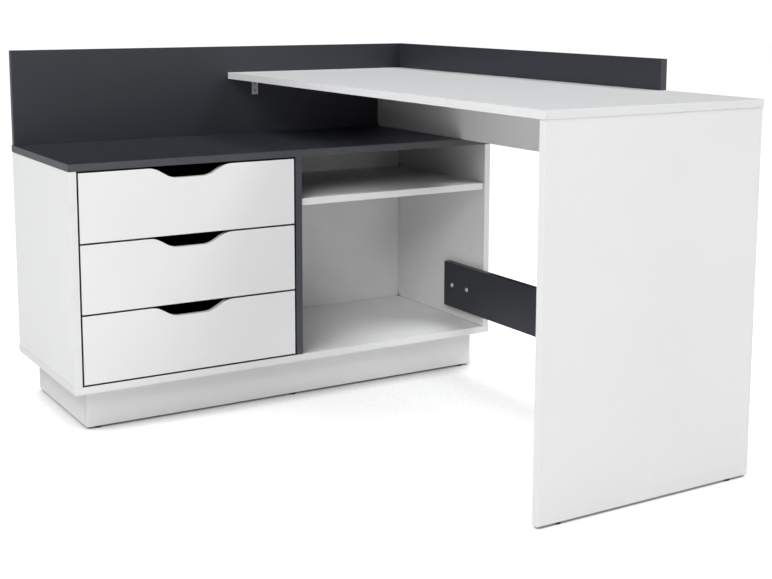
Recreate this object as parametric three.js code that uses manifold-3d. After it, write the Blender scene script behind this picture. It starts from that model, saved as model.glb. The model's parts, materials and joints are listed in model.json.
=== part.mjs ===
// A corner desk: a low sideboard with three drawers and an open niche, and a desktop that crosses
// it at a right angle and stands on a leg panel at its free end.
//
// Millimetres, +Z up. Everything is laid out from the sideboard's front left corner: X runs right
// along its front, Y runs back from its front face and Z runs up from the floor. The last lines
// shift the finished group so that the origin is the middle of its footprint on the floor.

import * as THREE from "three";
import { mergeVertices } from "three/addons/utils/BufferGeometryUtils.js";
import Module from "manifold-3d";

const wasm = await Module();
wasm.setup();

// ---------------------------------------------------------------- driving dimensions

// Stock
const BOARD = 16; // laminated board
const HARDBOARD = 3; // cabinet back and drawer bottoms
const BOX_BOARD = 12; // drawer sides and drawer backs
const GROOVE_DEPTH = 6;
const FIT_CLEARANCE = 0.3; // between a piece and the groove or hole that holds it

// Sideboard
const SIDEBOARD_WIDTH = 1077;
const SIDEBOARD_DEPTH = 423;
const CARCASS_BOTTOM = 97; // underside of the bottom board
const CARCASS_OPENING = 465; // clear height between the bottom board and the top board
const SIDE_INSET = 1; // the top and bottom boards stand proud of the sides by this
const DIVIDER_X = 530; // left face of the divider
const BACK_RECESS = 10; // rear edge of the sideboard to the rear face of its hardboard back

// Plinth and glides
const GLIDE_HEIGHT = 5;
const GLIDE_RADIUS = 7.5;
const GLIDE_EDGE = [2, 1.5]; // width and height of the rounding round its foot
const PLINTH_LEFT = 41;
const PLINTH_RIGHT = 1058;
const PLINTH_FRONT = 54;
const PLINTH_REAR = 403;
const GLIDE_INSET = 27; // from an end of the plinth to the middle of its end glide
const LEG_GLIDE_INSET = 50; // from an edge of the leg panel to the middle of its glide

// Niche
const SHELF_TOP = 480;
const SHELF_FRONT_SETBACK = 5;
const SHELF_END_GAP = 0.5;
const PIN_RADIUS = 2.5;
const PIN_DEPTH = 8; // of the pin, in its hole
const PIN_REACH = 9; // of the pin and its tongue, out of the panel
const PIN_TONGUE = [9, 2]; // width and thickness
const PIN_TIP = 1; // of the tongue, past the end of the round pin
const PIN_SETBACK = 37; // from either edge of the shelf
const MARK_RADIUS = 1.5; // two small blind holes in the niche's right wall
const MARK_DEPTH = 3;
const MARK_HEIGHT = 306;
const MARK_SETBACKS = [55, 187];

// Desk
const DESK_HEIGHT = 750; // top surface of the desktop
const TOTAL_HEIGHT = 815; // top edge of the tall back panel and of the side upstand
const PANEL_INSET = 2; // ends of the tall back panel, inside the sideboard's ends
const DESKTOP_LEFT = 549;
const DESKTOP_OVERHANG = 890; // in front of the sideboard
const UPSTAND_OVERHANG = 622; // in front of the sideboard
const LEG_EDGE_INSET = 2; // leg panel's edges, inside the desktop's edges
const LEG_FACE_INSET = 1; // leg panel's outer face, behind the desktop's front edge
const APRON_LEFT = 991;
const STRETCHER_LOW = 141;
const STRETCHER_HIGH = 258;
const STRETCHER_REAR = 154; // its end inside the niche

// Desk fittings
const BOLT_SETBACKS = [50, 116]; // behind the sideboard's front face
const BOLT_HEAD_RADIUS = 5.5;
const BOLT_HEAD_PROUD = 3.3;
const BOLT_SHANK_RADIUS = 3;
const BOLT_LENGTH = 28;
const BOLT_HOLE_RADIUS = 3.4;
const BOLT_SOCKET_RADIUS = 2.3; // across the corners of its hexagon
const BOLT_SOCKET_DEPTH = 2.5;
const BRACKET_LEFT = 615;
const BRACKET_WIDTH = 17;
const BRACKET_LEG = 42;
const BRACKET_THICKNESS = 2;
const BRACKET_HOLE_RADIUS = 2.4;
const BRACKET_HOLES = [15, 32]; // along each leg, from the bend's outer face

// Drawers
const DRAWER_NAMES = ["bottom", "middle", "top"];
const FRONT_GAP = 4; // round every drawer front
const FINGER_DEPTH = 24; // finger cut-out in a front's top edge
const FINGER_FLAT = 60; // width of its level bottom
const FINGER_RADIUS = 50; // of the arcs at both ends of each slope
const FINGER_SLOPE = Math.PI / 6;
const BOX_SIDE_GAP = 12.5; // between a drawer side and the cabinet, for the runners
const BOX_LENGTH = 350;
const BOX_HEIGHT = 90;
const BOX_LIFT = 27; // underside of the box above the lower edge of its front
const BOTTOM_LIFT = 8; // hardboard bottom above the underside of the box

// Runners: a channel on the cabinet and a flanged strip under the drawer side
const RUNNER_SHEET = 1.2;
const RUNNER_LENGTH = 350;
const CHANNEL_SETBACK = 4; // behind the rear faces of the drawer fronts
const CHANNEL_LIP = 10.5;
const CHANNEL_LOW = -23; // heights from the underside of the drawer box
const CHANNEL_HIGH = 1.9;
const STRIP_LOW = -1.5;
const STRIP_HIGH = 14;
const STRIP_FROM = 3; // reach of the strip's level flange, from the cabinet's wall
const STRIP_TO = 22;
const ROLLER_TAB = 20; // length and drop of the tab that carries the strip's roller
const SCREW_HOLE_RADIUS = 2.2;
const SCREW_HOLES = [38, 166, 294]; // along each channel

// Smoothness
const ROD_SIDES = 24;
const HOLE_SIDES = 16;
const HEXAGON_SIDES = 6;
const ARC_STEPS = 8; // in each arc of a finger cut-out
const GLIDE_EDGE_STEPS = 4;
const CUTTER_REACH = 1; // how far a cutting tool reaches past the face that it opens

// ---------------------------------------------------------------- derived dimensions

const carcassFloor = CARCASS_BOTTOM + BOARD;
const carcassCeiling = carcassFloor + CARCASS_OPENING;
const sideboardTop = carcassCeiling + BOARD;
const leftWall = SIDE_INSET + BOARD;
const rightWall = SIDEBOARD_WIDTH - SIDE_INSET - BOARD;
const nicheLeft = DIVIDER_X + BOARD;
const cabinetBackRear = SIDEBOARD_DEPTH - BACK_RECESS;
const cabinetBackFront = cabinetBackRear - HARDBOARD;
const tallPanelFront = SIDEBOARD_DEPTH - BOARD;
const desktopRight = SIDEBOARD_WIDTH - PANEL_INSET;
const desktopUnderside = DESK_HEIGHT - BOARD;
const legFront = LEG_FACE_INSET - DESKTOP_OVERHANG;
const legRear = legFront + BOARD;
const stretcherLeft = rightWall - BOARD;
const frontHeight = (CARCASS_OPENING - FRONT_GAP * (DRAWER_NAMES.length + 1)) / DRAWER_NAMES.length;
const channelFront = BOARD + CHANNEL_SETBACK;
const boxLeft = leftWall + BOX_SIDE_GAP;
const boxRight = DIVIDER_X - BOX_SIDE_GAP;

// ---------------------------------------------------------------- materials

const finish = (color, roughness, metalness = 0) =>
  new THREE.MeshStandardMaterial({ color, roughness, metalness });
const WHITE_LAMINATE = finish(0xe4e6e8, 0.45);
const ANTHRACITE_LAMINATE = finish(0x3c3f46, 0.6);
const WHITE_HARDBOARD = finish(0xd9dadb, 0.6);
const GREY_HARDBOARD = finish(0x2c2e31, 0.6);
const ZINC_STEEL = finish(0xb9bbbd, 0.4, 0.9);
const RUNNER_STEEL = finish(0xe9e9e6, 0.35, 0.1);
const WHITE_NYLON = finish(0xe8e8e4, 0.5);
const BLACK_PLASTIC = finish(0x141414, 0.6);

// ---------------------------------------------------------------- geometry helpers

const desk = new THREE.Group();

function addPiece(parent, name, geometry, material) {
  const piece = new THREE.Mesh(geometry, material.clone());
  piece.name = name;
  parent.add(piece);
}

// A rectangular block, from its low and high limits along each axis.
function block([xLow, xHigh], [yLow, yHigh], [zLow, zHigh]) {
  const geometry = new THREE.BoxGeometry(xHigh - xLow, yHigh - yLow, zHigh - zLow);
  return geometry.translate((xLow + xHigh) / 2, (yLow + yHigh) / 2, (zLow + zHigh) / 2);
}

// A round bar between two points.
function rod(from, to, radius, sides = ROD_SIDES) {
  const start = new THREE.Vector3(...from);
  const along = new THREE.Vector3(...to).sub(start);
  const geometry = new THREE.CylinderGeometry(radius, radius, along.length(), sides);
  const upright = new THREE.Vector3(0, 1, 0);
  geometry.applyQuaternion(
    new THREE.Quaternion().setFromUnitVectors(upright, along.clone().normalize()),
  );
  const middle = start.addScaledVector(along, 0.5);
  return geometry.translate(middle.x, middle.y, middle.z);
}

// An outline drawn in X and Z, made solid from yLow to yHigh.
function extrudeAlongY(outline, yLow, yHigh) {
  const options = { depth: yHigh - yLow, bevelEnabled: false, curveSegments: ARC_STEPS };
  return new THREE.ExtrudeGeometry(outline, options).rotateX(Math.PI / 2).translate(0, yHigh, 0);
}

function solidFrom(geometry) {
  const positions = geometry.clone();
  positions.deleteAttribute("normal");
  positions.deleteAttribute("uv");
  const merged = mergeVertices(positions, 1e-4);
  return new wasm.Manifold(
    new wasm.Mesh({
      numProp: 3,
      vertProperties: merged.attributes.position.array,
      triVerts: new Uint32Array(merged.index.array),
    }),
  );
}

function geometryFrom(solid) {
  const mesh = solid.getMesh();
  const geometry = new THREE.BufferGeometry();
  geometry.setAttribute("position", new THREE.BufferAttribute(mesh.vertProperties, 3));
  geometry.setIndex(new THREE.BufferAttribute(mesh.triVerts, 1));
  return geometry;
}

const cut = (geometry, ...tools) =>
  geometryFrom(tools.reduce((solid, tool) => solid.subtract(solidFrom(tool)), solidFrom(geometry)));

const join = (geometry, ...others) =>
  geometryFrom(others.reduce((solid, other) => solid.add(solidFrom(other)), solidFrom(geometry)));

// ---------------------------------------------------------------- sideboard carcass

const backLimitsX = [leftWall - GROOVE_DEPTH, rightWall + GROOVE_DEPTH];
const backLimitsZ = [carcassFloor - GROOVE_DEPTH, carcassCeiling + GROOVE_DEPTH];

function shrink([low, high], by) {
  return [low + by, high - by];
}

function addCarcass() {
  const depth = [0, SIDEBOARD_DEPTH];
  const opening = [carcassFloor, carcassCeiling];
  const groove = block(
    backLimitsX,
    shrink([cabinetBackFront, cabinetBackRear], -FIT_CLEARANCE),
    backLimitsZ,
  );
  const full = [0, SIDEBOARD_WIDTH];
  const topBoard = block(full, depth, [carcassCeiling, sideboardTop]);
  addPiece(desk, "sideboard_top", cut(topBoard, groove), ANTHRACITE_LAMINATE);
  const bottomBoard = block(full, depth, [CARCASS_BOTTOM, carcassFloor]);
  addPiece(desk, "sideboard_bottom", cut(bottomBoard, groove), WHITE_LAMINATE);
  const leftSide = block([SIDE_INSET, leftWall], depth, opening);
  addPiece(desk, "sideboard_left_side", cut(leftSide, groove), WHITE_LAMINATE);
  const rightSide = block([rightWall, SIDEBOARD_WIDTH - SIDE_INSET], depth, opening);
  const rightHoles = [...stretcherBoltHoles(), ...nicheMarks(), ...pinHoles(rightWall, 1)];
  addPiece(desk, "sideboard_right_side", cut(rightSide, groove, ...rightHoles), WHITE_LAMINATE);
  const divider = block(
    [DIVIDER_X, nicheLeft],
    [0, cabinetBackFront - FIT_CLEARANCE],
    opening,
  );
  const dividerCut = cut(divider, ...pinHoles(nicheLeft, -1));
  addPiece(desk, "sideboard_divider", dividerCut, ANTHRACITE_LAMINATE);
  const back = block(
    shrink(backLimitsX, FIT_CLEARANCE),
    [cabinetBackFront, cabinetBackRear],
    shrink(backLimitsZ, FIT_CLEARANCE),
  );
  addPiece(desk, "sideboard_back", back, WHITE_HARDBOARD);
}

// ---------------------------------------------------------------- shelf and shelf pins

const shelfRear = cabinetBackFront - SHELF_END_GAP;
const pinSetbacks = { front: SHELF_FRONT_SETBACK + PIN_SETBACK, rear: shelfRear - PIN_SETBACK };
const pinHeight = SHELF_TOP - BOARD - PIN_RADIUS - FIT_CLEARANCE;

// Blind holes in the niche wall at x; into is +1 where the wall lies towards +X, or -1.
function pinHoles(x, into) {
  const end = x + into * (PIN_DEPTH + FIT_CLEARANCE);
  return Object.values(pinSetbacks).map((y) =>
    rod([x - into * CUTTER_REACH, y, pinHeight], [end, y, pinHeight], PIN_RADIUS + FIT_CLEARANCE),
  );
}

function nicheMarks() {
  return MARK_SETBACKS.map((y) => {
    const from = [rightWall - CUTTER_REACH, y, MARK_HEIGHT];
    const to = [rightWall + MARK_DEPTH, y, MARK_HEIGHT];
    return rod(from, to, MARK_RADIUS, HOLE_SIDES);
  });
}

// A round pin with a flat tongue under the shelf.
function shelfPin(x, into, y) {
  const [tongueWidth, tongueThickness] = PIN_TONGUE;
  const tongueEnds = [x - into * FIT_CLEARANCE, x - into * PIN_REACH].sort((a, b) => a - b);
  const tongueTop = pinHeight + PIN_RADIUS;
  const tongue = block(
    tongueEnds,
    [y - tongueWidth / 2, y + tongueWidth / 2],
    [tongueTop - tongueThickness, tongueTop],
  );
  const inner = [x + into * PIN_DEPTH, y, pinHeight];
  const outer = [x - into * (PIN_REACH - PIN_TIP), y, pinHeight];
  return join(rod(inner, outer, PIN_RADIUS), tongue);
}

function addShelf() {
  const shelf = block(
    shrink([nicheLeft, rightWall], SHELF_END_GAP),
    [SHELF_FRONT_SETBACK, shelfRear],
    [SHELF_TOP - BOARD, SHELF_TOP],
  );
  addPiece(desk, "niche_shelf", shelf, WHITE_LAMINATE);
  for (const [depthName, y] of Object.entries(pinSetbacks)) {
    addPiece(desk, `shelf_pin_${depthName}_left`, shelfPin(nicheLeft, -1, y), WHITE_NYLON);
    addPiece(desk, `shelf_pin_${depthName}_right`, shelfPin(rightWall, 1, y), WHITE_NYLON);
  }
}

// ---------------------------------------------------------------- plinth and glides

// A round pad, its foot rounded by a quarter of an ellipse.
function glide() {
  const [edgeWidth, edgeHeight] = GLIDE_EDGE;
  const centre = GLIDE_RADIUS - edgeWidth;
  const foot = new THREE.EllipseCurve(centre, edgeHeight, edgeWidth, edgeHeight, -Math.PI / 2, 0);
  const profile = [
    new THREE.Vector2(0, 0),
    ...foot.getPoints(GLIDE_EDGE_STEPS),
    new THREE.Vector2(GLIDE_RADIUS, GLIDE_HEIGHT),
    new THREE.Vector2(0, GLIDE_HEIGHT),
  ];
  return new THREE.LatheGeometry(profile, ROD_SIDES).rotateX(Math.PI / 2);
}

function addGlide(name, x, y) {
  const holder = new THREE.Group();
  holder.position.set(x, y, 0);
  desk.add(holder);
  addPiece(holder, name, glide(), BLACK_PLASTIC);
}

function addPlinth() {
  const height = [GLIDE_HEIGHT, CARCASS_BOTTOM];
  const width = [PLINTH_LEFT, PLINTH_RIGHT];
  const between = [PLINTH_FRONT + BOARD, PLINTH_REAR - BOARD];
  const boards = {
    plinth_front: [width, [PLINTH_FRONT, PLINTH_FRONT + BOARD]],
    plinth_rear: [width, [PLINTH_REAR - BOARD, PLINTH_REAR]],
    plinth_left: [[PLINTH_LEFT, PLINTH_LEFT + BOARD], between],
    plinth_right: [[PLINTH_RIGHT - BOARD, PLINTH_RIGHT], between],
  };
  for (const [name, [xLimits, yLimits]] of Object.entries(boards)) {
    addPiece(desk, name, block(xLimits, yLimits, height), WHITE_LAMINATE);
  }
  const columns = {
    left: PLINTH_LEFT + GLIDE_INSET,
    middle: (PLINTH_LEFT + PLINTH_RIGHT) / 2,
    right: PLINTH_RIGHT - GLIDE_INSET,
  };
  for (const [column, x] of Object.entries(columns)) {
    addGlide(`glide_front_${column}`, x, PLINTH_FRONT + BOARD / 2);
    addGlide(`glide_rear_${column}`, x, PLINTH_REAR - BOARD / 2);
  }
}

// ---------------------------------------------------------------- desk

const stretcherMiddle = (STRETCHER_LOW + STRETCHER_HIGH) / 2;

function stretcherBoltHoles() {
  const from = stretcherLeft - CUTTER_REACH;
  const to = stretcherLeft + BOLT_LENGTH + FIT_CLEARANCE;
  return BOLT_SETBACKS.map((y) =>
    rod([from, y, stretcherMiddle], [to, y, stretcherMiddle], BOLT_HOLE_RADIUS),
  );
}

// A round head with a hexagon socket, on a plain shank that points to +X.
function stretcherBolt(y) {
  const at = (x) => [x, y, stretcherMiddle];
  const headFace = stretcherLeft - BOLT_HEAD_PROUD - FIT_CLEARANCE;
  const seat = stretcherLeft - FIT_CLEARANCE;
  const head = rod(at(headFace), at(seat), BOLT_HEAD_RADIUS);
  const shankStart = headFace + BOLT_HEAD_PROUD / 2;
  const shank = rod(at(shankStart), at(stretcherLeft + BOLT_LENGTH), BOLT_SHANK_RADIUS);
  const socketMouth = headFace - CUTTER_REACH;
  const socketEnd = headFace + BOLT_SOCKET_DEPTH;
  const socket = rod(at(socketMouth), at(socketEnd), BOLT_SOCKET_RADIUS, HEXAGON_SIDES);
  return cut(join(head, shank), socket);
}

// Two legs at a right angle, one under the desktop and one on the tall panel.
function angleBracket() {
  const width = [BRACKET_LEFT, BRACKET_LEFT + BRACKET_WIDTH];
  const middle = BRACKET_LEFT + BRACKET_WIDTH / 2;
  const rear = tallPanelFront;
  const top = desktopUnderside;
  const reach = [rear - BRACKET_LEG, rear];
  const level = block(width, reach, [top - BRACKET_THICKNESS, top]);
  const upright = block(width, [rear - BRACKET_THICKNESS, rear], [top - BRACKET_LEG, top]);
  const inner = BRACKET_THICKNESS + CUTTER_REACH;
  const hole = (from, to) => rod(from, to, BRACKET_HOLE_RADIUS, HOLE_SIDES);
  const holes = BRACKET_HOLES.flatMap((along) => [
    hole([middle, rear - along, top - inner], [middle, rear - along, top + CUTTER_REACH]),
    hole([middle, rear - inner, top - along], [middle, rear + CUTTER_REACH, top - along]),
  ]);
  return cut(join(level, upright), ...holes);
}

function addDesk() {
  const tallPanel = block(
    [PANEL_INSET, SIDEBOARD_WIDTH - PANEL_INSET],
    [tallPanelFront, SIDEBOARD_DEPTH],
    [sideboardTop, TOTAL_HEIGHT],
  );
  addPiece(desk, "tall_back_panel", tallPanel, ANTHRACITE_LAMINATE);
  const desktop = block(
    [DESKTOP_LEFT, desktopRight],
    [-DESKTOP_OVERHANG, tallPanelFront],
    [desktopUnderside, DESK_HEIGHT],
  );
  addPiece(desk, "desktop", desktop, WHITE_LAMINATE);
  const upstand = block(
    [desktopRight - BOARD, desktopRight],
    [-UPSTAND_OVERHANG, tallPanelFront],
    [DESK_HEIGHT, TOTAL_HEIGHT],
  );
  addPiece(desk, "side_upstand", upstand, ANTHRACITE_LAMINATE);
  const legWidth = shrink([DESKTOP_LEFT, desktopRight], LEG_EDGE_INSET);
  const leg = block(legWidth, [legFront, legRear], [GLIDE_HEIGHT, desktopUnderside]);
  addPiece(desk, "leg_panel", leg, WHITE_LAMINATE);
  const [leftGlideX, rightGlideX] = shrink(legWidth, LEG_GLIDE_INSET);
  addGlide("glide_leg_left", leftGlideX, legFront + BOARD / 2);
  addGlide("glide_leg_right", rightGlideX, legFront + BOARD / 2);
  const apron = block(
    [APRON_LEFT, APRON_LEFT + BOARD],
    [legRear, tallPanelFront],
    [sideboardTop, desktopUnderside],
  );
  addPiece(desk, "apron_rail", apron, WHITE_LAMINATE);
  const stretcher = block(
    [stretcherLeft, rightWall],
    [legRear, STRETCHER_REAR],
    [STRETCHER_LOW, STRETCHER_HIGH],
  );
  addPiece(desk, "stretcher_rail", cut(stretcher, ...stretcherBoltHoles()), ANTHRACITE_LAMINATE);
  const [frontBoltY, rearBoltY] = BOLT_SETBACKS;
  addPiece(desk, "stretcher_bolt_front", stretcherBolt(frontBoltY), ZINC_STEEL);
  addPiece(desk, "stretcher_bolt_rear", stretcherBolt(rearBoltY), ZINC_STEEL);
  addPiece(desk, "angle_bracket", angleBracket(), ZINC_STEEL);
}

// ---------------------------------------------------------------- drawers

// A front's outline, with its lower edge at Z 0 and a finger cut-out in its top edge: each slope
// is a straight stretch between an arc at the top edge and an arc at the level bottom.
function frontOutline() {
  const left = leftWall + FRONT_GAP;
  const right = DIVIDER_X - FRONT_GAP;
  const middle = (left + right) / 2;
  const arcRise = 2 * FINGER_RADIUS * (1 - Math.cos(FINGER_SLOPE));
  const straightRun = (FINGER_DEPTH - arcRise) / Math.tan(FINGER_SLOPE);
  const flatHalf = FINGER_FLAT / 2;
  const topHalf = flatHalf + 2 * FINGER_RADIUS * Math.sin(FINGER_SLOPE) + straightRun;
  const topCentre = frontHeight - FINGER_RADIUS;
  const bottomCentre = frontHeight - FINGER_DEPTH + FINGER_RADIUS;
  const up = Math.PI / 2;
  const down = -Math.PI / 2;
  const outline = new THREE.Shape();
  outline.moveTo(left, 0);
  outline.lineTo(right, 0);
  outline.lineTo(right, frontHeight);
  outline.absarc(middle + topHalf, topCentre, FINGER_RADIUS, up, up + FINGER_SLOPE, false);
  outline.absarc(middle + flatHalf, bottomCentre, FINGER_RADIUS, down + FINGER_SLOPE, down, true);
  outline.absarc(middle - flatHalf, bottomCentre, FINGER_RADIUS, down, down - FINGER_SLOPE, true);
  outline.absarc(middle - topHalf, topCentre, FINGER_RADIUS, up - FINGER_SLOPE, up, false);
  outline.lineTo(left, frontHeight);
  return outline;
}

// One drawer in a group of its own, with Z 0 at the lower edge of its front.
function addDrawer(name, frontLow) {
  const drawer = new THREE.Group();
  drawer.position.z = frontLow;
  desk.add(drawer);
  const boxRear = BOARD + BOX_LENGTH;
  const boxZ = [BOX_LIFT, BOX_LIFT + BOX_HEIGHT];
  const insideX = [boxLeft + BOX_BOARD, boxRight - BOX_BOARD];
  const insideY = [BOARD, boxRear - BOX_BOARD];
  const bottomX = shrink(insideX, -GROOVE_DEPTH);
  const bottomY = shrink(insideY, -GROOVE_DEPTH);
  const bottomZ = [BOX_LIFT + BOTTOM_LIFT, BOX_LIFT + BOTTOM_LIFT + HARDBOARD];
  const groove = block(bottomX, bottomY, shrink(bottomZ, -FIT_CLEARANCE));
  const front = extrudeAlongY(frontOutline(), 0, BOARD);
  addPiece(drawer, `${name}_drawer_front`, cut(front, groove), WHITE_LAMINATE);
  const leftSide = block([boxLeft, boxLeft + BOX_BOARD], [BOARD, boxRear], boxZ);
  addPiece(drawer, `${name}_drawer_left_side`, cut(leftSide, groove), ANTHRACITE_LAMINATE);
  const rightSide = block([boxRight - BOX_BOARD, boxRight], [BOARD, boxRear], boxZ);
  addPiece(drawer, `${name}_drawer_right_side`, cut(rightSide, groove), ANTHRACITE_LAMINATE);
  const back = block(insideX, [boxRear - BOX_BOARD, boxRear], boxZ);
  addPiece(drawer, `${name}_drawer_back`, cut(back, groove), ANTHRACITE_LAMINATE);
  const bottom = block(
    shrink(bottomX, FIT_CLEARANCE),
    shrink(bottomY, FIT_CLEARANCE),
    bottomZ,
  );
  addPiece(drawer, `${name}_drawer_bottom`, bottom, GREY_HARDBOARD);
  addRunners(drawer, name);
}

// ---------------------------------------------------------------- drawer runners

// A C section against the cabinet's wall. Widths run from the wall at x towards the drawer, which
// lies on the side that towards points to: +1 or -1.
function channel(x, towards) {
  const lip = x + towards * CHANNEL_LIP;
  const web = x + towards * RUNNER_SHEET;
  const outline = new THREE.Shape(
    [
      [x, CHANNEL_LOW],
      [lip, CHANNEL_LOW],
      [lip, CHANNEL_LOW + RUNNER_SHEET],
      [web, CHANNEL_LOW + RUNNER_SHEET],
      [web, CHANNEL_HIGH - RUNNER_SHEET],
      [lip, CHANNEL_HIGH - RUNNER_SHEET],
      [lip, CHANNEL_HIGH],
      [x, CHANNEL_HIGH],
    ].map(([across, height]) => new THREE.Vector2(across, height)),
  );
  const holeHeight = (CHANNEL_LOW + CHANNEL_HIGH) / 2;
  const holes = SCREW_HOLES.map((along) => {
    const y = channelFront + along;
    const from = [x - towards * CUTTER_REACH, y, holeHeight];
    const to = [x + towards * (RUNNER_SHEET + CUTTER_REACH), y, holeHeight];
    return rod(from, to, SCREW_HOLE_RADIUS, HOLE_SIDES);
  });
  const body = extrudeAlongY(outline, channelFront, channelFront + RUNNER_LENGTH);
  return cut(body, ...holes);
}

// A level flange under the drawer side, an upright web beside it, and a tab at the rear end that
// carries the roller.
function strip(x, towards) {
  const limits = (from, to) => [x + towards * from, x + towards * to].sort((a, b) => a - b);
  const webTo = BOX_SIDE_GAP - FIT_CLEARANCE;
  const web = limits(webTo - RUNNER_SHEET, webTo);
  const rear = BOARD + RUNNER_LENGTH;
  const length = [BOARD + FIT_CLEARANCE, rear];
  const flange = block(limits(STRIP_FROM, STRIP_TO), length, [STRIP_LOW, STRIP_LOW + RUNNER_SHEET]);
  const upright = block(web, length, [STRIP_LOW, STRIP_HIGH]);
  const tab = block(web, [rear - ROLLER_TAB, rear], [STRIP_LOW - ROLLER_TAB + RUNNER_SHEET, 0]);
  return join(flange, upright, tab);
}

function addRunners(drawer, name) {
  const runners = new THREE.Group();
  runners.position.z = BOX_LIFT;
  drawer.add(runners);
  const walls = { left: [leftWall, 1], right: [DIVIDER_X, -1] };
  for (const [side, [x, towards]] of Object.entries(walls)) {
    addPiece(runners, `${name}_cabinet_runner_${side}`, channel(x, towards), RUNNER_STEEL);
    addPiece(runners, `${name}_drawer_runner_${side}`, strip(x, towards), RUNNER_STEEL);
  }
}

// ---------------------------------------------------------------- the whole desk

addCarcass();
addShelf();
addPlinth();
addDesk();
DRAWER_NAMES.forEach((name, level) => {
  addDrawer(name, carcassFloor + FRONT_GAP + level * (frontHeight + FRONT_GAP));
});

desk.position.set(-SIDEBOARD_WIDTH / 2, (DESKTOP_OVERHANG - SIDEBOARD_DEPTH) / 2, 0);
const cornerDesk = new THREE.Group();
cornerDesk.add(desk);

export default cornerDesk;
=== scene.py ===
import json
import math

import bmesh
import bpy
from mathutils import Matrix, Vector


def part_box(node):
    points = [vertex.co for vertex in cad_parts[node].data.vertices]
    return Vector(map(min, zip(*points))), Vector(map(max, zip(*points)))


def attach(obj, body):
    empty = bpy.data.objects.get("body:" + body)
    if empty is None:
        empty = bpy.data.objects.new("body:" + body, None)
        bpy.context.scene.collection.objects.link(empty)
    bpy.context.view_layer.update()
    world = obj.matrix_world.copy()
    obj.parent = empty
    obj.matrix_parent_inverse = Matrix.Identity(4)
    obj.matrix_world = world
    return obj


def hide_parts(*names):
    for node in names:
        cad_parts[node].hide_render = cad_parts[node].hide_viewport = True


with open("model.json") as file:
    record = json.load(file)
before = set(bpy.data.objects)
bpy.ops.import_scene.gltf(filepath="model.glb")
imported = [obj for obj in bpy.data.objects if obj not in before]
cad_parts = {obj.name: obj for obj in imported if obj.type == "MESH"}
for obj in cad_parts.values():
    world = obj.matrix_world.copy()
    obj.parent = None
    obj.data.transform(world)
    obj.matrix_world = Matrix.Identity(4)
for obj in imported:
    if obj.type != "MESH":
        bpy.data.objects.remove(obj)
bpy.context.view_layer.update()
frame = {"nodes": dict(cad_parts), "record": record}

MM = 0.001
DRAWERS = ("bottom", "middle", "top")
SIDES = ("left", "right")


# ---------------------------------------------------------------- camera

CAMERA_PLACE = Vector((-1.3773, -2.4281, 0.9406))
CAMERA_YAW = math.radians(31.18)  # from +Y towards +X
CAMERA_PITCH = math.radians(8.26)  # below the horizon
CAMERA_ROLL = math.radians(0.15)
CAMERA_LENS = 61.42
CAMERA_SENSOR = 36.0
CAMERA_SHIFT_Y = -0.1315


def add_camera():
    ahead = Vector(
        (
            math.sin(CAMERA_YAW) * math.cos(CAMERA_PITCH),
            math.cos(CAMERA_YAW) * math.cos(CAMERA_PITCH),
            -math.sin(CAMERA_PITCH),
        )
    )
    level = Vector((math.cos(CAMERA_YAW), -math.sin(CAMERA_YAW), 0))
    upright = level.cross(ahead)
    right = level * math.cos(CAMERA_ROLL) + upright * math.sin(CAMERA_ROLL)
    up = upright * math.cos(CAMERA_ROLL) - level * math.sin(CAMERA_ROLL)
    data = bpy.data.cameras.new("camera")
    data.sensor_width = CAMERA_SENSOR
    data.lens = CAMERA_LENS
    data.shift_y = CAMERA_SHIFT_Y
    camera = bpy.data.objects.new("camera", data)
    turn = Matrix((right, up, -ahead)).transposed().to_4x4()
    camera.matrix_world = Matrix.Translation(CAMERA_PLACE) @ turn
    bpy.context.scene.collection.objects.link(camera)
    bpy.context.scene.camera = camera


# ---------------------------------------------------------------- node materials

# Painted shade: a board's colour fades to near-black in narrow gaps and inner corners, where
# ambient occlusion finds little open sky.
GAP_REACH = 0.02
GAP_OPENNESS = (0.28, 0.5)  # share of the sky seen where the painted gap shade is full, and where it ends
GAP_SAMPLES = 8
# the near-black colour of the painted shade in gaps
PAINTED_GAP_SHADE = (0.012, 0.012, 0.013)


def add_node(tree, kind, **settings):
    """Adds a node. Each setting is the value of an input or one of the node's own properties."""
    node = tree.nodes.new(kind)
    for key, value in settings.items():
        if key in node.inputs:
            node.inputs[key].default_value = value
        else:
            setattr(node, key, value)
    return node


def set_or_link(tree, socket, value):
    """Gives a socket a plain value or another node's output."""
    if isinstance(value, bpy.types.NodeSocket):
        tree.links.new(value, socket)
    else:
        socket.default_value = value


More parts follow.
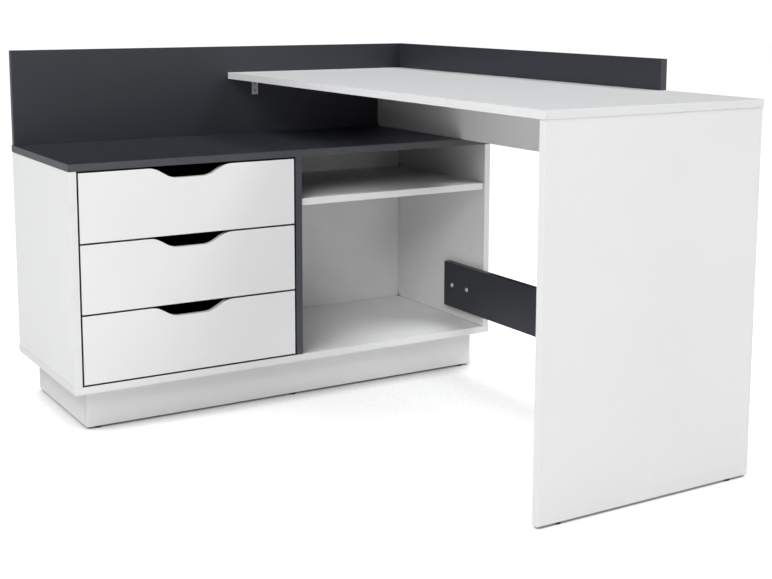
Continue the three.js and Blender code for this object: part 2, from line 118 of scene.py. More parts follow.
class Shader:
    """A node material round one Principled shader, with short calls for the nodes that it needs."""

    def __init__(self, name, roughness, metallic=0.0, specular=0.5):
        """Roughness is the surface's mean here; the method of that name lets it vary."""
        self.material = bpy.data.materials.new(name)
        self.material.use_nodes = True
        self.tree = self.material.node_tree
        self.bsdf = self.tree.nodes["Principled BSDF"]
        self.bsdf.inputs["Roughness"].default_value = roughness
        self.bsdf.inputs["Metallic"].default_value = metallic
        self.bsdf.inputs["Specular IOR Level"].default_value = specular
        self.place = self.node("ShaderNodeTexCoord").outputs["Object"]

    def node(self, kind, **settings):
        return add_node(self.tree, kind, **settings)

    def link(self, output, target):
        self.tree.links.new(output, target)

    def noise(self, size, detail=2.0, stretch=(1, 1, 1)):
        """Noise whose features are about size metres across, from 0 to 1."""
        mapping = self.node("ShaderNodeMapping", Scale=stretch)
        self.link(self.place, mapping.inputs["Vector"])
        noise = self.node("ShaderNodeTexNoise", Scale=1 / size, Detail=detail)
        self.link(mapping.outputs["Vector"], noise.inputs["Vector"])
        return noise.outputs["Fac"]

    def cells(self, size, feature="F1"):
        """Cells that are about size metres across."""
        voronoi = self.node("ShaderNodeTexVoronoi", feature=feature, Scale=1 / size)
        self.link(self.place, voronoi.inputs["Vector"])
        return voronoi

    def span(self, value, low, high, from_low=0.3, from_high=0.7):
        """Maps value from one range to another."""
        spread = self.node("ShaderNodeMapRange")
        spread.inputs["From Min"].default_value = from_low
        spread.inputs["From Max"].default_value = from_high
        spread.inputs["To Min"].default_value = low
        spread.inputs["To Max"].default_value = high
        self.link(value, spread.inputs["Value"])
        return spread.outputs["Result"]

    def mix(self, share, first, second):
        """A colour between two colours, either of which may be another node's output."""
        mix = self.node("ShaderNodeMix", data_type="RGBA")
        self.link(share, mix.inputs["Factor"])
        for name, colour in (("A", first), ("B", second)):
            socket = next(i for i in mix.inputs if i.name == name and i.type == "RGBA")
            plain = not isinstance(colour, bpy.types.NodeSocket)
            set_or_link(self.tree, socket, (*colour, 1) if plain else colour)
        return next(o for o in mix.outputs if o.type == "RGBA")

    def with_painted_gap_shade(self, colour):
        """Paints shade into a colour: it fades to near-black in gaps that are deeper than they are
        wide.
        """
        openness = self.node("ShaderNodeAmbientOcclusion", samples=GAP_SAMPLES, Distance=GAP_REACH)
        return self.mix(self.span(openness.outputs["AO"], 0.0, 1.0, *GAP_OPENNESS), PAINTED_GAP_SHADE, colour)

    def colour(self, output):
        self.link(output, self.bsdf.inputs["Base Color"])

    def roughness(self, output):
        self.link(output, self.bsdf.inputs["Roughness"])

    def bump(self, *layers):
        """Each layer is a height output and its depth in metres; they add up."""
        normal = None
        for height, depth in layers:
            bump = self.node("ShaderNodeBump", Distance=depth, Strength=1.0)
            self.link(height, bump.inputs["Height"])
            if normal is not None:
                self.link(normal, bump.inputs["Normal"])
            normal = bump.outputs["Normal"]
        self.link(normal, self.bsdf.inputs["Normal"])


def shade(colour, factor):
    return tuple(channel * factor for channel in colour)


def laminate(name, colour, roughness):
    """Melamine foil on particle board: a pearl texture, faint clouds in colour and gloss, and
    painted shade in narrow gaps.
    """
    s = Shader(name, roughness)
    clouds = s.span(s.noise(0.22, 3.0), 0.0, 1.0)
    flecks = s.span(s.noise(0.0016, 1.0), 0.0, 1.0)
    clouded = s.mix(clouds, shade(colour, 0.985), shade(colour, 1.012))
    # painted shade: the colour darkens in narrow gaps and inner corners
    s.colour(s.with_painted_gap_shade(s.mix(s.span(flecks, 0.0, 0.35, 0.55, 1.0), clouded, shade(colour, 0.94))))
    s.roughness(s.span(s.noise(0.05, 4.0), roughness - 0.03, roughness + 0.03))
    s.bump((s.noise(0.0011, 2.0), 0.000035), (s.noise(0.012, 1.0), 0.00003))
    return s.material


def edge_band(name, colour, roughness):
    """The plastic band glued round a board: smoother, with fine drawing lines along it, and painted
    shade in narrow gaps.
    """
    s = Shader(name, roughness)
    lines = s.noise(0.004, 2.0, stretch=(1, 1, 8))
    worn = s.span(s.noise(0.035, 5.0), 0.0, 1.0, 0.62, 0.72)
    banded = s.mix(s.span(lines, 0.0, 1.0), shade(colour, 0.985), shade(colour, 1.01))
    # painted shade: the colour darkens in the narrow gaps between boards
    s.colour(s.with_painted_gap_shade(s.mix(worn, banded, shade(colour, 0.95))))
    s.roughness(s.span(lines, roughness - 0.03, roughness + 0.04))
    s.bump((lines, 0.00001))
    return s.material


def lacquered_board(name, colour):
    """The smooth side of hardboard, under a thin printed lacquer."""
    s = Shader(name, 0.5, specular=0.35)
    s.colour(s.mix(s.span(s.noise(0.12, 4.0), 0, 1), shade(colour, 0.97), shade(colour, 1.02)))
    s.roughness(s.span(s.noise(0.02, 3.0), 0.45, 0.6))
    s.bump((s.noise(0.0018, 3.0), 0.00006))
    return s.material


def raw_hardboard():
    """The screen-patterned rear side of hardboard: brown fibres with a net pressed into them."""
    s = Shader("raw_hardboard", 0.85, specular=0.2)
    fibres = s.noise(0.0025, 6.0, stretch=(1, 1, 3))
    brown = s.mix(s.span(fibres, 0, 1), (0.155, 0.088, 0.042), (0.29, 0.185, 0.1))
    s.colour(s.mix(s.span(s.noise(0.15, 4.0), 0, 0.5), brown, (0.2, 0.12, 0.062)))
    net = s.cells(0.0022, "DISTANCE_TO_EDGE").outputs["Distance"]
    s.bump((net, 0.00025), (fibres, 0.0001))
    return s.material


def zinc_plate(name, tone, metallic):
    """Zinc-plated steel: faint crystals, and a brushed, slightly stained sheen."""
    s = Shader(name, 0.38, metallic=metallic)
    crystals = s.cells(0.0035).outputs["Color"]
    grey = s.node("ShaderNodeRGBToBW")
    s.link(crystals, grey.inputs["Color"])
    dark, light, stain = (0.64, 0.65, 0.66), (0.78, 0.785, 0.79), (0.56, 0.55, 0.53)
    plain = s.mix(grey.outputs["Val"], shade(dark, tone), shade(light, tone))
    stained = s.span(s.noise(0.006, 5.0), 0, 0.6, 0.5, 0.75)
    s.colour(s.mix(stained, plain, shade(stain, tone)))
    s.roughness(s.span(s.noise(0.002, 4.0), 0.28, 0.46))
    s.bump((s.noise(0.0006, 2.0), 0.00001))
    return s.material


def powder_coat():
    """White epoxy powder on folded sheet: orange peel, and a little grey where parts rub."""
    s = Shader("runner_steel", 0.35)
    rubbed = s.span(s.noise(0.02, 6.0), 0, 0.7, 0.6, 0.8)
    white = s.mix(s.span(s.noise(0.08, 2.0), 0, 1), (0.70, 0.70, 0.685), (0.74, 0.74, 0.725))
    s.colour(s.mix(rubbed, white, (0.5, 0.5, 0.5)))
    s.roughness(s.span(s.noise(0.005, 3.0), 0.28, 0.42))
    s.bump((s.noise(0.0022, 1.0), 0.00008))
    return s.material


def moulded(name, light, dark, roughness):
    """Injection-moulded plastic with a fine spark-eroded texture."""
    s = Shader(name, roughness)
    s.colour(s.mix(s.span(s.noise(0.004, 4.0), 0, 1), dark, light))
    s.roughness(s.span(s.noise(0.0012, 3.0), roughness - 0.06, roughness + 0.08))
    s.bump((s.noise(0.0004, 2.0), 0.00002))
    return s.material


WHITE = (0.84, 0.84, 0.84)
# painted shade: the white edge band is a little darker than the board's face, to dim the light that
# the edges catch
WHITE_EDGE_DIMMED = (0.80, 0.80, 0.80)
WHITE_LACQUER = (0.89, 0.89, 0.895)
ANTHRACITE = (0.0255, 0.028, 0.0365)
# painted highlight: the anthracite edge band is about twice as light as the board's face, for the
# light that the front edges catch
ANTHRACITE_EDGE_LIT = (0.056, 0.060, 0.070)
GREY_LACQUER = (0.03, 0.032, 0.035)
BOARD_ROUGHNESS = 0.42


def make_materials():
    return {
        "white": laminate("white_laminate", WHITE, BOARD_ROUGHNESS),
        "white_edge": edge_band("white_edge_band", WHITE_EDGE_DIMMED, BOARD_ROUGHNESS),
        "dark": laminate("anthracite_laminate", ANTHRACITE, BOARD_ROUGHNESS),
        "dark_edge": edge_band("anthracite_edge_band", ANTHRACITE_EDGE_LIT, BOARD_ROUGHNESS),
        "lacquer_white": lacquered_board("white_hardboard", WHITE_LACQUER),
        "lacquer_grey": lacquered_board("grey_hardboard", GREY_LACQUER),
        "raw": raw_hardboard(),
        "zinc": zinc_plate("zinc_steel", tone=1.0, metallic=0.6),
        "matt_zinc": zinc_plate("matt_zinc_steel", tone=1.15, metallic=0.1),
        "dark_zinc": zinc_plate("dark_zinc_steel", tone=0.7, metallic=0.6),
        "coat": powder_coat(),
        "nylon": moulded("white_nylon", (0.74, 0.74, 0.71), (0.69, 0.69, 0.65), 0.48),
        "cap": moulded("white_cap", (0.80, 0.80, 0.79), (0.76, 0.76, 0.75), 0.4),
        "black": moulded("black_plastic", (0.018, 0.018, 0.019), (0.012, 0.012, 0.012), 0.5),
    }


# ---------------------------------------------------------------- finish of the CAD boards

ROUNDING = 0.5 * MM  # of a banded board's edges
DRAWER_FRONT_ROUNDING = 0.3 * MM
FINE_ROUNDING = 0.25 * MM  # of thin boards, sheet metal and small fittings
ROUNDING_STEPS = 2
WELD_REACH = 0.01 * MM
SHARP = math.radians(35)  # the least bend that is rounded
SMOOTH = math.radians(20)  # the most bend that is shaded smooth
FLAT = math.radians(0.5)  # the most bend between triangles of one flat face
ALONG = 0.9  # the least part of a face's unit normal on an axis that it looks along
BOARD_FINISHES = {"white_laminate": "white", "anthracite_laminate": "dark"}
SMALL_FINISHES = {
    "zinc_steel": "zinc",
    "runner_steel": "coat",
    "white_nylon": "nylon",
    "black_plastic": "black",
}


def index_by_normal(tree, geometry, axis, alike):
    """Gives index 1 to the faces that look along axis or, with alike False, across it."""
    normal = add_node(tree, "GeometryNodeInputNormal")
    product = add_node(tree, "ShaderNodeVectorMath", operation="DOT_PRODUCT")
    product.inputs[1].default_value = axis
    tree.links.new(normal.outputs["Normal"], product.inputs[0])
    along = product.outputs["Value"]
    if not alike:
        size = add_node(tree, "ShaderNodeMath", operation="ABSOLUTE")
        tree.links.new(along, size.inputs[0])
        along = size.outputs["Value"]
    which = "GREATER_THAN" if alike else "LESS_THAN"
    test = add_node(tree, "FunctionNodeCompare", data_type="FLOAT", operation=which, B=ALONG)
    tree.links.new(along, test.inputs["A"])
    choose = add_node(tree, "GeometryNodeSetMaterialIndex")
    choose.inputs["Material Index"].default_value = 1
    tree.links.new(geometry, choose.inputs["Geometry"])
    tree.links.new(test.outputs["Result"], choose.inputs["Selection"])
    return choose.outputs["Geometry"]


def smooth_below(tree, geometry, limit):
    """Shades smooth across every edge that bends less than limit."""
    faces = add_node(tree, "GeometryNodeSetShadeSmooth", domain="FACE")
    faces.inputs["Shade Smooth"].default_value = True
    tree.links.new(geometry, faces.inputs["Geometry"])
    angle = add_node(tree, "GeometryNodeInputMeshEdgeAngle")
    test = add_node(tree, "FunctionNodeCompare", data_type="FLOAT", operation="LESS_THAN", B=limit)
    tree.links.new(angle.outputs["Unsigned Angle"], test.inputs["A"])
    edges = add_node(tree, "GeometryNodeSetShadeSmooth", domain="EDGE")
    tree.links.new(faces.outputs["Geometry"], edges.inputs["Geometry"])
    tree.links.new(test.outputs["Result"], edges.inputs["Shade Smooth"])
    return edges.outputs["Geometry"]


finish_groups = {}


def finish_group(axis=None, alike=False):
    """A geometry group that smooths gentle bends and, with an axis, sorts faces by their normal."""
    key = (axis, alike)
    if key in finish_groups:
        return finish_groups[key]
    tree = bpy.data.node_groups.new("finish", "GeometryNodeTree")
    tree.interface.new_socket("Geometry", in_out="INPUT", socket_type="NodeSocketGeometry")
    tree.interface.new_socket("Geometry", in_out="OUTPUT", socket_type="NodeSocketGeometry")
    entry = add_node(tree, "NodeGroupInput")
    leave = add_node(tree, "NodeGroupOutput")
    geometry = smooth_below(tree, entry.outputs["Geometry"], SMOOTH)
    if axis is not None:
        geometry = index_by_normal(tree, geometry, axis, alike)
    tree.links.new(geometry, leave.inputs["Geometry"])
    finish_groups[key] = tree
    return tree


def round_edges(piece, width):
    """Merges the CAD triangles into whole faces and rounds every sharp edge."""
    weld = piece.modifiers.new("weld", "WELD")
    weld.merge_threshold = WELD_REACH
    whole = piece.modifiers.new("whole_faces", "DECIMATE")
    whole.decimate_type = "DISSOLVE"
    whole.angle_limit = FLAT
    bevel = piece.modifiers.new("rounding", "BEVEL")
    bevel.width = width
    bevel.segments = ROUNDING_STEPS
    bevel.limit_method = "ANGLE"
    bevel.angle_limit = SHARP
    bevel.use_clamp_overlap = False


def finish(node, materials, width, axis=None, alike=False):
    """Rounds a carried-over CAD node and gives it one material, or two sorted by face normal."""
    piece = frame["nodes"][node]
    piece.data.materials.clear()
    for material in materials:
        piece.data.materials.append(material)
    round_edges(piece, width)
    modifier = piece.modifiers.new("finish", "NODES")
    modifier.node_group = finish_group(axis, alike)


def thin_axis(node):
    """The axis across a board."""
    low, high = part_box(node)
    size = high - low
    thin = min(range(3), key=lambda i: size[i])
    return tuple(1.0 if i == thin else 0.0 for i in range(3))


def finish_boards(materials):
    """Finishes every CAD node by the slot that the record gives it."""
    rear, down = (0.0, 1.0, 0.0), (0.0, 0.0, -1.0)
    for subpart in frame["record"]["subparts"]:
        node, slot = subpart["node"], subpart["material_slot"]
        if slot in BOARD_FINISHES:
            face = BOARD_FINISHES[slot]
            banded = node != "stretcher_rail"
            pair = [materials[face], materials[face + "_edge" if banded else face]]
            width = DRAWER_FRONT_ROUNDING if node.endswith("_drawer_front") else ROUNDING
            finish(node, pair, width, thin_axis(node))
        elif slot == "white_hardboard":
            finish(node, [materials["lacquer_white"], materials["raw"]], FINE_ROUNDING, rear, True)
        elif slot == "grey_hardboard":
            finish(node, [materials["lacquer_grey"], materials["raw"]], FINE_ROUNDING, down, True)
        else:
            small = "matt_zinc" if node == "angle_bracket" else SMALL_FINISHES[slot]
            finish(node, [materials[small]], FINE_ROUNDING)


# ---------------------------------------------------------------- small fittings

TURN_STEPS = 32
LEFT, RIGHT, DOWN = (-1, 0, 0), (1, 0, 0), (0, 0, -1)
FORWARD, REARWARD = (0, -1, 0), (0, 1, 0)
CROSS_TAPER = 0.7  # of a recess's floor against its mouth
OUTWARD = {"left": LEFT, "right": RIGHT}
INWARD = {"left": RIGHT, "right": LEFT}


def cross_outline(reach, arm):
    """The mouth of a cross recess, anticlockwise."""
    quarter = [(reach, -arm), (reach, arm), (arm, arm)]
    corners = []
    for _ in range(4):
        corners += quarter
        quarter = [(-y, x) for x, y in quarter]
    return corners


def hexagon_outline(reach):
    """The mouth of a hexagon socket, anticlockwise."""
    turns = [math.radians(60 * k) for k in range(6)]
    return [(reach * math.cos(turn), reach * math.sin(turn)) for turn in turns]


class Fitting:
    """A mesh of turned solids, each placed at a point with its own axis along a direction.
    Sizes are in millimetres, and places in metres."""

    def __init__(self):
        self.mesh = bmesh.new()

    def turn(self, place, direction, profile, ring=False):
        """Turns a profile of (radius, height) points; gives its last circle and its placing."""
        facing = Vector(direction).to_track_quat("Z", "Y").to_matrix().to_4x4()
        placing = Matrix.Translation(place) @ facing @ Matrix.Scale(MM, 4)
        circles = []
        for radius, height in profile:
            steps = TURN_STEPS if radius else 1
            turns = [math.tau * k / steps for k in range(steps)]
            points = [Vector((radius * math.cos(t), radius * math.sin(t), height)) for t in turns]
            circles.append([self.mesh.verts.new(placing @ point) for point in points])
        following = circles[1:] + circles[:1] if ring else circles[1:]
        for lower, upper in zip(circles, following):
            for k in range(TURN_STEPS):
                corners = [
                    lower[k % len(lower)],
                    lower[(k + 1) % len(lower)],
                    upper[(k + 1) % len(upper)],
                    upper[k % len(upper)],
                ]
                self.mesh.faces.new(list(dict.fromkeys(corners)))
        return circles[-1], placing

    def screw(self, place, direction, profile, outline, depth, taper=CROSS_TAPER):
        """A turned solid whose last circle is closed by a flat face with a recess in it."""
        rim, placing = self.turn(place, direction, profile)
        top = profile[-1][1]
        mouth = [self.mesh.verts.new(placing @ Vector((x, y, top))) for x, y in outline]
        floor = [
            self.mesh.verts.new(placing @ Vector((x * taper, y * taper, top - depth)))
            for x, y in outline
        ]
        border = [self.mesh.edges.get((a, b)) for a, b in zip(rim, rim[1:] + rim[:1])]
        for k in range(len(outline)):
            after = (k + 1) % len(outline)
            wall = self.mesh.faces.new((mouth[k], mouth[after], floor[after], floor[k]))
            border.append(wall.edges[0])
        self.mesh.faces.new(floor)
        bmesh.ops.triangle_fill(self.mesh, edges=border, use_beauty=True)

    def piece(self, name, body, slot, material):
        """Closes the fitting and makes it a piece of the scene, on a body; the slot is not used."""
        bmesh.ops.recalc_face_normals(self.mesh, faces=self.mesh.faces[:])
        data = bpy.data.meshes.new(name)
        self.mesh.to_mesh(data)
        self.mesh.free()
        piece = bpy.data.objects.new(name, data)
        bpy.context.scene.collection.objects.link(piece)
        data.materials.append(material)
        piece.modifiers.new("finish", "NODES").node_group = finish_group()
        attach(piece, body)
        return piece


# ---------------------------------------------------------------- runner rollers and screws

# Sizes of a fitting are in millimetres. Distances along the desk are in metres, and say MM.
SHEET = 1.2  # of the runners
ROLLER_RADIUS = 9.5
ROLLER_WIDTH = 8.0
ROLLER_GAP = 0.1  # between a roller and the steel that it rolls on
ROLLER_PLAY = 0.05  # between a roller and its rivet's head
CABINET_ROLLER_INSET = 10 * MM  # of its axle, behind the channel's front end
CABINET_ROLLER_AXLE = 0.8  # shoulder between the channel and the roller
CABINET_RIVET_HEAD = 0.85
DRAWER_ROLLER_INSET = 10 * MM  # of its axle, ahead of the strip's rear end
DRAWER_ROLLER_AXLE = 0.6
DRAWER_RIVET_HEAD = 0.55
TAB_INNER_FACE = 11 * MM  # from the wall that the channel is screwed to
DRAWER_UNDERSIDE_TO_FLANGE = 1.5  # down to the face of its strip that runs on the roller
CHANNEL_SCREWS = (38 * MM, 166 * MM, 294 * MM)  # behind the channel's front end
ROLLER_FLANK = [
    (2.1, ROLLER_WIDTH / 2),
    (3.6, ROLLER_WIDTH / 2),
    (3.9, 2.8),
    (7.2, 2.8),
    (7.5, ROLLER_WIDTH / 2),
    (8.9, ROLLER_WIDTH / 2),
    (9.32, 3.82),
    (ROLLER_RADIUS, 3.4),
]
ROLLER_PROFILE = [(radius, -height) for radius, height in ROLLER_FLANK] + ROLLER_FLANK[::-1]


def rivet_profile(shoulder, head):
    """From the sheet, a shoulder, a shank through the roller, and a low domed head."""
    seat = shoulder + ROLLER_WIDTH + ROLLER_PLAY
    return [
        (0, 0),
        (3.0, 0),
        (3.0, shoulder),
        (2.0, shoulder),
        (2.0, seat),
        (3.4, seat),
        (3.4, seat + head * 0.35),
        (3.0, seat + head * 0.75),
        (1.9, seat + head * 0.97),
        (0, seat + head),
    ]


FLAT_SCREW = [(0, -1.1), (1.9, -1.1), (1.9, 0), (3.6, 0), (3.6, 0.12), (3.25, 0.38), (2.9, 0.42)]
FLAT_SCREW_CROSS = cross_outline(2.1, 0.42)
FLAT_SCREW_RECESS = 0.9


def roller(name, body, place, materials):
    fitting = Fitting()
    fitting.turn(place, RIGHT, ROLLER_PROFILE, ring=True)
    fitting.piece(name, body, "white_nylon", materials["nylon"])


def rivet(name, body, place, direction, profile, materials):
    fitting = Fitting()
    fitting.turn(place, direction, profile)
    fitting.piece(name, body, "zinc_steel", materials["zinc"])


def add_runner_fittings(drawer, side, materials):
    """The roller of the cabinet's channel, the roller of the drawer's strip, and the screws."""
    channel_low, channel_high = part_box(f"{drawer}_cabinet_runner_{side}")
    strip_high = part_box(f"{drawer}_drawer_runner_{side}")[1]
    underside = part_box(f"{drawer}_drawer_{side}_side")[0].z
    wall = channel_low.x if side == "left" else channel_high.x
    inward, outward = INWARD[side], OUTWARD[side]

    def at(from_wall, y, z):
        return Vector((wall + inward[0] * from_wall, y, z))

    radius = ROLLER_RADIUS * MM
    y = channel_low.y + CABINET_ROLLER_INSET
    z = underside - (DRAWER_UNDERSIDE_TO_FLANGE + ROLLER_GAP) * MM - radius
    middle = (SHEET + CABINET_ROLLER_AXLE + ROLLER_WIDTH / 2) * MM
    roller(f"{drawer}_cabinet_roller_{side}", "desk", at(middle, y, z), materials)
    profile = rivet_profile(CABINET_ROLLER_AXLE, CABINET_RIVET_HEAD)
    name = f"{drawer}_cabinet_roller_rivet_{side}"
    rivet(name, "desk", at(SHEET * MM, y, z), inward, profile, materials)

    body = f"{drawer}_drawer"
    y = strip_high.y - DRAWER_ROLLER_INSET
    z = channel_low.z + (SHEET + ROLLER_GAP) * MM + radius
    middle = TAB_INNER_FACE - (DRAWER_ROLLER_AXLE + ROLLER_WIDTH / 2) * MM
    roller(f"{drawer}_drawer_roller_{side}", body, at(middle, y, z), materials)
    profile = rivet_profile(DRAWER_ROLLER_AXLE, DRAWER_RIVET_HEAD)
    name = f"{drawer}_drawer_roller_rivet_{side}"
    rivet(name, body, at(TAB_INNER_FACE, y, z), outward, profile, materials)

    screws = Fitting()
    z = (channel_low.z + channel_high.z) / 2
    for along in CHANNEL_SCREWS:
        place = at(SHEET * MM, channel_low.y + along, z)
        screws.screw(place, inward, FLAT_SCREW, FLAT_SCREW_CROSS, FLAT_SCREW_RECESS)
    name = f"{drawer}_cabinet_runner_screws_{side}"
    screws.piece(name, "desk", "zinc_steel", materials["zinc"])


# ---------------------------------------------------------------- drawer box fasteners

DRAWER_SCREW_HEIGHTS = (40 * MM, 74 * MM)  # above the underside of the drawer's sides
DRAWER_CAM_SETBACK = 34 * MM  # behind the drawer front
LOW_SCREW = [(0, 0), (3.4, 0), (3.4, 0.08), (3.1, 0.26), (2.8, 0.28)]
LOW_SCREW_CROSS = cross_outline(1.9, 0.4)
LOW_SCREW_RECESS = 0.24
CAM = [(0, 0), (7.4, 0), (7.4, 0.3), (7.1, 0.5), (6.2, 0.55)]
CAM_CROSS = cross_outline(3.8, 0.8)
CAM_RECESS = 0.45
CAM_TAPER = 0.85


def add_drawer_fasteners(drawer, materials):
    """Screws through the sides into the back, and the cams that draw the front on to the sides."""
    screws, cams = Fitting(), Fitting()
    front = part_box(f"{drawer}_drawer_front")[1].y
    back_low, back_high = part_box(f"{drawer}_drawer_back")
    for side in SIDES:
        low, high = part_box(f"{drawer}_drawer_{side}_side")
        outer, inner = (low.x, high.x) if side == "left" else (high.x, low.x)
        for height in DRAWER_SCREW_HEIGHTS:
            place = Vector((outer, (back_low.y + back_high.y) / 2, low.z + height))
            screws.screw(place, OUTWARD[side], LOW_SCREW, LOW_SCREW_CROSS, LOW_SCREW_RECESS)
            place = Vector((inner, front + DRAWER_CAM_SETBACK, low.z + height))
            cams.screw(place, INWARD[side], CAM, CAM_CROSS, CAM_RECESS, CAM_TAPER)
    body = f"{drawer}_drawer"
    screws.piece(f"{drawer}_drawer_back_screws", body, "zinc_steel", materials["zinc"])
    cams.piece(f"{drawer}_drawer_front_cams", body, "zinc_steel", materials["zinc"])


# ---------------------------------------------------------------- desk fasteners

BRACKET_SHEET = 2.0 * MM
BRACKET_HOLES = (15 * MM, 32 * MM)  # along each leg, from the bend's outer face
PAN_SCREW = [
    (0, -1.9),
    (2.0, -1.9),
    (2.0, 0),
    (3.9, 0),
    (3.9, 0.45),
    (3.7, 0.95),
    (3.2, 1.45),
    (2.5, 1.75),
    (2.1, 1.82),
]
PAN_SCREW_CROSS = cross_outline(1.75, 0.38)
PAN_SCREW_RECESS = 1.4
BUTTON_BOLT = [
    (0, -28),
    (2.4, -28),
    (3.0, -27),
    (3.0, 0),
    (5.5, 0),
    (5.5, 0.5),
    (5.38, 1.15),
    (5.08, 1.8),
    (4.6, 2.4),
    (3.95, 2.9),
    (3.2, 3.22),
    (2.7, 3.3),
]
BUTTON_BOLT_HEXAGON = hexagon_outline(2.3)
BUTTON_BOLT_RECESS = 2.5
BUTTON_BOLT_TAPER = 0.95
COVER_CAP = [(0, 0), (8.5, 0), (8.5, 0.35), (8.2, 0.75), (7.0, 1.0), (3.5, 1.12), (0, 1.15)]
CAP_DROP = 34 * MM  # of the caps' centres, below the desktop's underside
LEG_CAP_INSET = 48 * MM  # from the leg panel's long edges
APRON_CAP_INSET = 60 * MM  # from the apron rail's ends


def add_bracket_screws(materials):
    """Two screws up into the desktop and two into the tall back panel."""
    low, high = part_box("angle_bracket")
    middle = (low.x + high.x) / 2
    screws = Fitting()
    for along in BRACKET_HOLES:
        places = [
            (Vector((middle, high.y - along, high.z - BRACKET_SHEET)), DOWN),
            (Vector((middle, high.y - BRACKET_SHEET, high.z - along)), FORWARD),
        ]
        for place, direction in places:
            screws.screw(place, direction, PAN_SCREW, PAN_SCREW_CROSS, PAN_SCREW_RECESS)
    screws.piece("angle_bracket_screws", "desk", "zinc_steel", materials["dark_zinc"])


def add_stretcher_bolts(materials):
    """Button-head bolts with a hexagon socket, in place of the plainer heads of the CAD."""
    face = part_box("stretcher_rail")[0].x
    for end in ("front", "rear"):
        node = f"stretcher_bolt_{end}"
        low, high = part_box(node)
        place = Vector((face, (low.y + high.y) / 2, (low.z + high.z) / 2))
        bolt = Fitting()
        recess = (BUTTON_BOLT_HEXAGON, BUTTON_BOLT_RECESS, BUTTON_BOLT_TAPER)
        bolt.screw(place, LEFT, BUTTON_BOLT, *recess)
        piece = bolt.piece(f"{node}_button_head", "desk", "zinc_steel", materials["zinc"])
        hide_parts(node)


def add_cover_caps(materials):
    """Plastic caps over the cams of the leg panel and the apron rail, on their hidden faces."""
    low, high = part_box("leg_panel")
    caps = Fitting()
    for x in (low.x + LEG_CAP_INSET, (low.x + high.x) / 2, high.x - LEG_CAP_INSET):
        caps.turn(Vector((x, high.y, high.z - CAP_DROP)), REARWARD, COVER_CAP)
    caps.piece("leg_panel_cover_caps", "desk", "white_nylon", materials["cap"])
    low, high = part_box("apron_rail")
    caps = Fitting()
    for y in (low.y + APRON_CAP_INSET, (low.y + high.y) / 2, high.y - APRON_CAP_INSET):
        caps.turn(Vector((high.x, y, high.z - CAP_DROP)), RIGHT, COVER_CAP)
    caps.piece("apron_rail_cover_caps", "desk", "white_nylon", materials["cap"])


def add_fittings(materials):
    for drawer in DRAWERS:
        for side in SIDES:
            add_runner_fittings(drawer, side, materials)
        add_drawer_fasteners(drawer, materials)
    add_bracket_screws(materials)
    add_stretcher_bolts(materials)
    add_cover_caps(materials)


# ---------------------------------------------------------------- floor and light

FLOOR_HALF = 20.0
FLOOR_WHITE = 0.4
FLOOR_ROUGHNESS = 0.9
GLOW_LIT = 0.573  # of the floor that lights the desk
GLOW_SEEN = 1.0  # of the floor in the picture
# Each shade is the reach of the things that shade the floor, the share of the sky that is open
# where the shade ends, and the share of the glow that is left where no sky is open.
SHADE_LIT = (0.5, 1.0, 0.14)
CONTACT_SEEN = (0.07, 0.9, 0.3)
DESK_SHADE_SEEN = (1.0, 0.66, 0.0)
SHADE_SAMPLES = 6
BACKDROP = 1.05  # strength of the white behind the floor, in the picture
SKY_LEFT = 0.1  # strength of the sky that lights the desk, at its left-hand end
COOL = (0.965, 0.98, 1.0)
PLAIN = (1.0, 0.995, 0.985)
SOFTBOX_AIM = Vector((0.0, 0.0, 0.4))
SOFTBOX_SIZE = (4.0, 3.2)
SOFTBOX_DISTANCE = 9.0
SOFTBOXES = {  # degrees from -Y towards +X, degrees up, power and tint of each
    "softbox_left": (-45, 30, 311.0, PLAIN),
    "softbox_left_high": (-75, 55, 445.0, COOL),
    "softbox_right": (20, 10, 75.0, PLAIN),
    "softbox_right_high": (55, 55, 350.0, COOL),
}


def shaded(tree, glow, reach, end, left):
    """A glow, a number or a node's output, that is dimmer under and close beside a thing."""
    kind = "ShaderNodeAmbientOcclusion"
    openness = add_node(tree, kind, samples=SHADE_SAMPLES, Distance=reach)
    share = add_node(tree, "ShaderNodeMapRange")
    share.inputs["From Max"].default_value = end
    share.inputs["To Min"].default_value = left
    tree.links.new(openness.outputs["AO"], share.inputs["Value"])
    dimmed = add_node(tree, "ShaderNodeMath", operation="MULTIPLY")
    set_or_link(tree, dimmed.inputs[0], glow)
    tree.links.new(share.outputs["Result"], dimmed.inputs[1])
    return dimmed.outputs["Value"]


def either_by_camera(tree, unseen, seen):
    """One value for what the camera sees straight on, and another for all other light."""
    either = add_node(tree, "ShaderNodeMix")
    camera_ray = add_node(tree, "ShaderNodeLightPath").outputs["Is Camera Ray"]
    tree.links.new(camera_ray, either.inputs["Factor"])
    set_or_link(tree, either.inputs["A"], unseen)
    set_or_link(tree, either.inputs["B"], seen)
    return either.outputs["Result"]


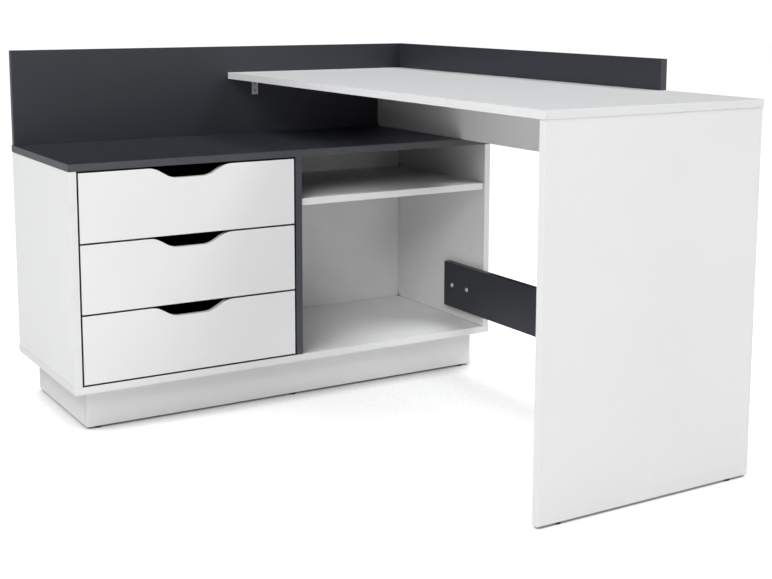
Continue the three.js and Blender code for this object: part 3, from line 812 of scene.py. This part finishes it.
def add_floor():
    """A matt white floor that glows a little, so that it stays white in the picture."""
    mesh = bpy.data.meshes.new("floor")
    corners = [(-1, -1), (1, -1), (1, 1), (-1, 1)]
    mesh.from_pydata([(x * FLOOR_HALF, y * FLOOR_HALF, 0) for x, y in corners], [], [(0, 1, 2, 3)])
    floor = bpy.data.objects.new("floor", mesh)
    material = bpy.data.materials.new("floor")
    material.use_nodes = True
    tree = material.node_tree
    matt = tree.nodes["Principled BSDF"]
    matt.inputs["Base Color"].default_value = (FLOOR_WHITE, FLOOR_WHITE, FLOOR_WHITE, 1)
    matt.inputs["Roughness"].default_value = FLOOR_ROUGHNESS
    matt.inputs["Specular IOR Level"].default_value = 0.0
    matt.inputs["Emission Color"].default_value = (1, 1, 1, 1)
    lit = shaded(tree, GLOW_LIT, *SHADE_LIT)
    seen = shaded(tree, shaded(tree, GLOW_SEEN, *CONTACT_SEEN), *DESK_SHADE_SEEN)
    glow = either_by_camera(tree, lit, seen)
    tree.links.new(glow, matt.inputs["Emission Strength"])
    mesh.materials.append(material)
    bpy.context.scene.collection.objects.link(floor)


def add_sky():
    """A white backdrop, and dim light that grows from nothing in the middle to full at the left."""
    world = bpy.data.worlds.new("studio")
    world.use_nodes = True
    tree = world.node_tree
    where = add_node(tree, "ShaderNodeTexCoord")
    parts = add_node(tree, "ShaderNodeSeparateXYZ")
    tree.links.new(where.outputs["Generated"], parts.inputs["Vector"])
    leftward = add_node(tree, "ShaderNodeMapRange")
    leftward.inputs["From Max"].default_value = -1.0
    leftward.inputs["To Max"].default_value = SKY_LEFT
    tree.links.new(parts.outputs["X"], leftward.inputs["Value"])
    background = tree.nodes["Background"]
    background.inputs["Color"].default_value = (1, 1, 1, 1)
    strength = either_by_camera(tree, leftward.outputs["Result"], BACKDROP)
    tree.links.new(strength, background.inputs["Strength"])
    bpy.context.scene.world = world


def add_softboxes():
    for name, (turn, height, power, tint) in SOFTBOXES.items():
        azimuth, elevation = math.radians(turn), math.radians(height)
        towards = Vector(
            (
                math.sin(azimuth) * math.cos(elevation),
                -math.cos(azimuth) * math.cos(elevation),
                math.sin(elevation),
            )
        )
        data = bpy.data.lights.new(name, "AREA")
        data.shape = "RECTANGLE"
        data.size, data.size_y = SOFTBOX_SIZE
        data.energy = power
        data.color = tint
        light = bpy.data.objects.new(name, data)
        light.visible_camera = False
        aim = (-towards).to_track_quat("-Z", "Y").to_matrix().to_4x4()
        place = Matrix.Translation(SOFTBOX_AIM + towards * SOFTBOX_DISTANCE)
        light.matrix_world = place @ aim
        bpy.context.scene.collection.objects.link(light)


def add_studio():
    add_floor()
    add_sky()
    add_softboxes()
    bpy.context.scene.view_settings.view_transform = "Standard"


# ---------------------------------------------------------------- the whole scene

add_camera()
add_studio()
materials = make_materials()
finish_boards(materials)
add_fittings(materials)
